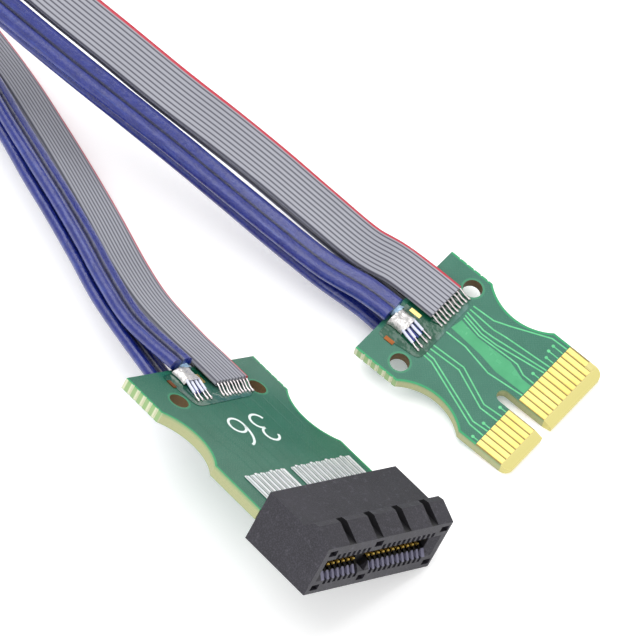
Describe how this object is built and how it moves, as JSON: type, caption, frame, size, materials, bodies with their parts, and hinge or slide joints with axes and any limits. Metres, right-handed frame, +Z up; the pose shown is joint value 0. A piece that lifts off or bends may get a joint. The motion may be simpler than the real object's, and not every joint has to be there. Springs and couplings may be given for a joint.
{
  "type": "flexible one-lane riser cable",
  "caption": "Flexible riser cable: a plug board with gold edge fingers and a socket board with a card slot, joined by ribbon and twin-core data cables that loop behind them.",
  "frame": {"origin": "middle of the two boards' box, on the surface they lie on", "axes": "+Z up, -Y the way both boards point, +X along the row of the two boards towards the plug board"},
  "size_m": [0.0585, 0.1378, 0.0347],
  "materials": {
    "board": "green solder mask over glass laminate, satin gloss",
    "housing": "moulded black plastic, fine grain",
    "contact": "gold plated spring contact, tinned tail",
    "tinned_wire": "tinned copper wire and solder",
    "ribbon_jacket": "grey ribbed jacket with one red edge",
    "data_jacket": "blue wrapped film jacket, slightly glossy",
    "resin": "clear cured resin, wet gloss"
  },
  "bodies": {
    "root": {"plug_board": "board", "socket_board": "board", "socket_housing": "housing", "contact_top_01": "contact", "contact_bottom_01": "contact", "contact_top_02": "contact", "contact_bottom_02": "contact", "contact_top_03": "contact", "contact_bottom_03": "contact", "contact_top_04": "contact", "contact_bottom_04": "contact", "contact_top_05": "contact", "contact_bottom_05": "contact", "contact_top_06": "contact", "contact_bottom_06": "contact", "contact_top_07": "contact", "contact_bottom_07": "contact", "contact_top_08": "contact", "contact_bottom_08": "contact", "contact_top_09": "contact", "contact_bottom_09": "contact", "contact_top_10": "contact", "contact_bottom_10": "contact", "contact_top_11": "contact", "contact_bottom_11": "contact", "contact_top_12": "contact", "contact_bottom_12": "contact", "contact_top_13": "contact", "contact_bottom_13": "contact", "contact_top_14": "contact", "contact_bottom_14": "contact", "contact_top_15": "contact", "contact_bottom_15": "contact", "contact_top_16": "contact", "contact_bottom_16": "contact", "contact_top_17": "contact", "contact_bottom_17": "contact", "contact_top_18": "contact", "contact_bottom_18": "contact", "guard_tail_right": "tinned_wire", "guard_tail_left": "tinned_wire", "wire_row_plug_top": "tinned_wire", "data_end_plug_top": "tinned_wire", "resin_plug_top": "resin", "wire_row_plug_bottom": "tinned_wire", "data_end_plug_bottom": "tinned_wire", "resin_plug_bottom": "resin", "wire_row_socket_top": "tinned_wire", "data_end_socket_top": "tinned_wire", "resin_socket_top": "resin", "wire_row_socket_bottom": "tinned_wire", "data_end_socket_bottom": "tinned_wire", "resin_socket_bottom": "resin", "ribbon_outer": "ribbon_jacket", "data_cable_outer": "data_jacket", "ribbon_inner": "ribbon_jacket", "data_cable_inner": "data_jacket"}
  },
  "joints": []
}
